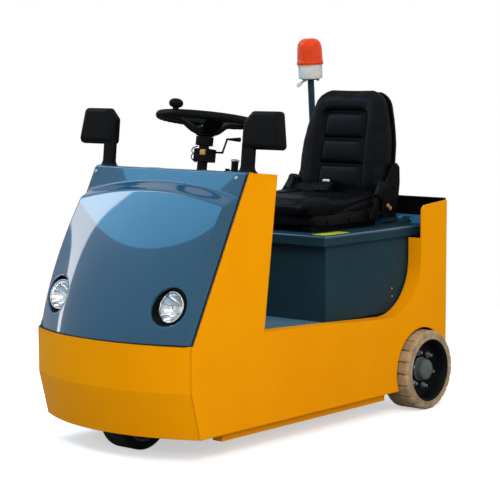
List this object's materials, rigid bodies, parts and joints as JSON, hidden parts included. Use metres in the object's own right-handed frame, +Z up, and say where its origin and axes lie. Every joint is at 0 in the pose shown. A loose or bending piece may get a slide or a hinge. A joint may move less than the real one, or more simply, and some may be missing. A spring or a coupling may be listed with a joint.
{
  "type": "electric tow tractor",
  "caption": "Seated electric tow tractor for baggage carts: bowed bumper, moulded front shell with lamps, step-through sides, seat on a hinged battery lid, steered drive wheel, rear tow jaw.",
  "frame": {"origin": "on the ground, below the middle of the overall length and on the centre plane", "axes": "+X forward, +Y to the driver's left, +Z up"},
  "size_m": [1.6699, 0.948, 1.4081],
  "materials": {
    "yellow_paint": "satin",
    "shell_plastic": "gloss",
    "dark_sheet": "satin",
    "black_paint": "satin",
    "rail_paint": "satin",
    "black_plastic": "matte",
    "mat_rubber": "matte",
    "bright_steel": "satin",
    "cast_grey": "satin",
    "battery_case": "matte",
    "mirror_glass": "gloss",
    "lens_glass": "gloss",
    "tail_red": "gloss",
    "beacon_white": "satin",
    "beacon_red": "gloss",
    "seat_vinyl": "satin",
    "rear_tyre": "matte",
    "drive_tyre": "matte",
    "rim_black": "satin"
  },
  "bodies": {
    "chassis": {"chassis_frame": "yellow_paint", "side_panel_left": "yellow_paint", "side_panel_right": "yellow_paint", "front_bumper": "yellow_paint", "front_shell": "shell_plastic", "cowl": "black_plastic", "bulkhead": "black_paint", "floor_plate": "black_paint", "floor_mat": "mat_rubber", "pedals": "black_paint", "battery_box": "dark_sheet", "battery": "battery_case", "rear_wall": "black_paint", "rear_panel": "yellow_paint", "hinge_rail": "rail_paint", "hitch_plate": "black_paint", "tow_jaw": "black_paint", "tow_pin": "bright_steel", "rear_axle": "black_paint", "drive_plate": "black_paint", "drive_motor": "cast_grey", "steering_column": "black_plastic", "column_switch": "black_plastic", "mirror_arms": "black_plastic", "mirror_glasses": "mirror_glass", "headlamp_buckets": "black_plastic", "headlamp_lenses": "lens_glass", "tail_lamps": "tail_red", "beacon_pole": "dark_sheet", "beacon_base": "beacon_white", "beacon_dome": "beacon_red", "dash_controls": "black_plastic"},
    "lid": {"seat_lid": "dark_sheet", "seat_base": "black_paint", "seat_cushion": "seat_vinyl", "seat_back": "seat_vinyl", "seat_belt": "black_plastic"},
    "steer": {"drive_unit": "cast_grey"},
    "drive_wheel": {"drive_rim": "cast_grey", "drive_tyre": "drive_tyre"},
    "rear_wheel_left": {"rear_rim_left": "rim_black", "rear_tyre_left": "rear_tyre"},
    "rear_wheel_right": {"rear_rim_right": "rim_black", "rear_tyre_right": "rear_tyre"},
    "steering": {"steering_wheel": "black_plastic", "spinner_knob": "black_plastic"}
  },
  "joints": [
    {"name": "front_steer", "type": "hinge", "parent": "chassis", "child": "steer", "pos_m": [0.635, 0, 0.3], "axis": [0, 0, 1], "range_deg": [-75, 75]},
    {"name": "drive_wheel_roll", "type": "hinge", "parent": "steer", "child": "drive_wheel", "pos_m": [0.635, 0, 0.125], "axis": [0, 1, 0], "continuous": true},
    {"name": "rear_left_roll", "type": "hinge", "parent": "chassis", "child": "rear_wheel_left", "pos_m": [-0.555, 0.34, 0.15], "axis": [0, 1, 0], "continuous": true},
    {"name": "rear_right_roll", "type": "hinge", "parent": "chassis", "child": "rear_wheel_right", "pos_m": [-0.555, -0.34, 0.15], "axis": [0, 1, 0], "continuous": true},
    {"name": "steering_wheel_turn", "type": "hinge", "parent": "chassis", "child": "steering", "pos_m": [0.26, 0, 1.11], "axis": [-0.1564, 0, 0.9877], "range_deg": [-450, 450]},
    {"name": "lid_hinge", "type": "hinge", "parent": "chassis", "child": "lid", "pos_m": [-0.684, 0, 0.706], "axis": [0, -1, 0], "range_deg": [0, 60]}
  ],
  "couplings": [
    {"joint": "steering_wheel_turn", "follows": "front_steer", "ratio": 6}
  ]
}
